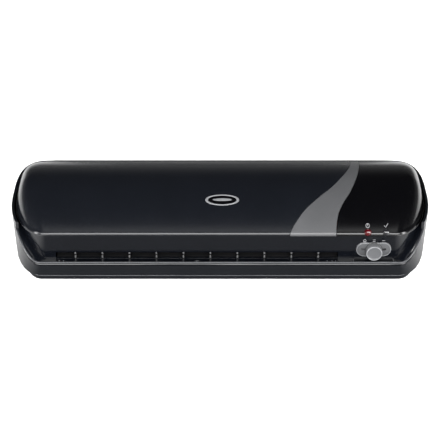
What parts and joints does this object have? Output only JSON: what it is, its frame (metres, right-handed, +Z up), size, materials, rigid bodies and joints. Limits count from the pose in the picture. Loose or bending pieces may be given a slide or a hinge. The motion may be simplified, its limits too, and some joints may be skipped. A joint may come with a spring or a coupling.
{
  "type": "pouch laminator",
  "caption": "Low desktop pouch laminator with an arched cover, front entry slot, two ready lamps, a slide switch and geared hot rollers.",
  "frame": {"origin": "centre of the footprint, on the surface that the feet stand on", "axes": "+Z up, +X to the right as seen from the entry slot, -Y towards the user"},
  "size_m": [0.35, 0.1286, 0.0619],
  "materials": {
    "tray_black": "satin",
    "gloss_black": "gloss",
    "satin_black": "satin",
    "band_grey": "satin",
    "knob_grey": "satin",
    "rubber": "matte",
    "silicone": "matte",
    "steel": "satin",
    "aluminium": "satin",
    "nylon": "matte",
    "board": "satin",
    "red_lens": "gloss",
    "smoke_lens": "gloss",
    "brass": "polished"
  },
  "bodies": {
    "housing": {"base_tray": "tray_black", "entry_bezel": "gloss_black", "rear_surround": "tray_black", "top_cover": "satin_black", "accent_band": "band_grey", "control_end_cover": "gloss_black", "foot_1": "rubber", "foot_2": "rubber", "foot_3": "rubber", "foot_4": "rubber", "case_screw_1": "steel", "case_screw_2": "steel", "case_screw_3": "steel", "case_screw_4": "steel", "power_lens": "red_lens", "ready_lens": "smoke_lens", "switch_escutcheon": "band_grey", "slide_switch": "satin_black", "control_board": "board", "mains_inlet": "tray_black", "inlet_pin_left": "brass", "inlet_pin_right": "brass", "frame_left": "steel", "frame_right": "steel", "frame_screw_left": "steel", "frame_screw_right": "steel", "tie_bar_front": "steel", "tie_bar_rear": "steel", "lower_bush_left": "nylon", "pressure_spring_left": "steel", "lower_bush_right": "nylon", "pressure_spring_right": "steel", "idler_pin": "steel", "gear_motor": "steel", "motor_standoff_lower": "steel", "motor_standoff_upper": "steel", "upper_heater_shell": "aluminium", "lower_heater_shell": "aluminium", "thermostat": "nylon", "thermal_fuse": "nylon", "entry_guide_lower": "satin_black", "entry_guide_upper": "satin_black", "exit_guide_lower": "satin_black", "exit_guide_upper": "satin_black"},
    "knob": {"slide_knob": "knob_grey"},
    "roller_carrier": {"upper_bearing_block_left": "nylon", "upper_bearing_block_right": "nylon"},
    "upper_roller": {"upper_roller_shaft": "steel", "upper_roller_sleeve": "silicone", "upper_roller_gear": "nylon"},
    "lower_roller": {"lower_roller_shaft": "steel", "lower_roller_sleeve": "silicone", "lower_roller_gear": "nylon"},
    "idler": {"idler_gear": "nylon"},
    "motor_output": {"motor_pinion": "nylon"}
  },
  "joints": [
    {"name": "knob_slide", "type": "slide", "parent": "housing", "child": "knob", "axis": [1, 0, 0], "range_m": [-0.0077, 0.0077]},
    {"name": "lower_roller_spin", "type": "hinge", "parent": "housing", "child": "lower_roller", "pos_m": [0, 0, 0.017], "axis": [1, 0, 0], "continuous": true},
    {"name": "upper_roller_lift", "type": "slide", "parent": "housing", "child": "roller_carrier", "axis": [0, 0, 1], "range_m": [0, 0.0015], "stiffness_N_per_m": 4000, "springref_m": -0.002, "deforming": ["pressure_spring_left", "pressure_spring_right"]},
    {"name": "upper_roller_spin", "type": "hinge", "parent": "roller_carrier", "child": "upper_roller", "pos_m": [0, 0, 0.035], "axis": [1, 0, 0], "continuous": true},
    {"name": "idler_spin", "type": "hinge", "parent": "housing", "child": "idler", "pos_m": [0, 0.018, 0.017], "axis": [1, 0, 0], "continuous": true},
    {"name": "motor_output_spin", "type": "hinge", "parent": "housing", "child": "motor_output", "pos_m": [0, 0.03029, 0.0256], "axis": [1, 0, 0], "continuous": true}
  ],
  "couplings": [
    {"joint": "upper_roller_spin", "follows": "lower_roller_spin", "ratio": -1},
    {"joint": "idler_spin", "follows": "lower_roller_spin", "ratio": -1},
    {"joint": "motor_output_spin", "follows": "lower_roller_spin", "ratio": 1.5}
  ]
}
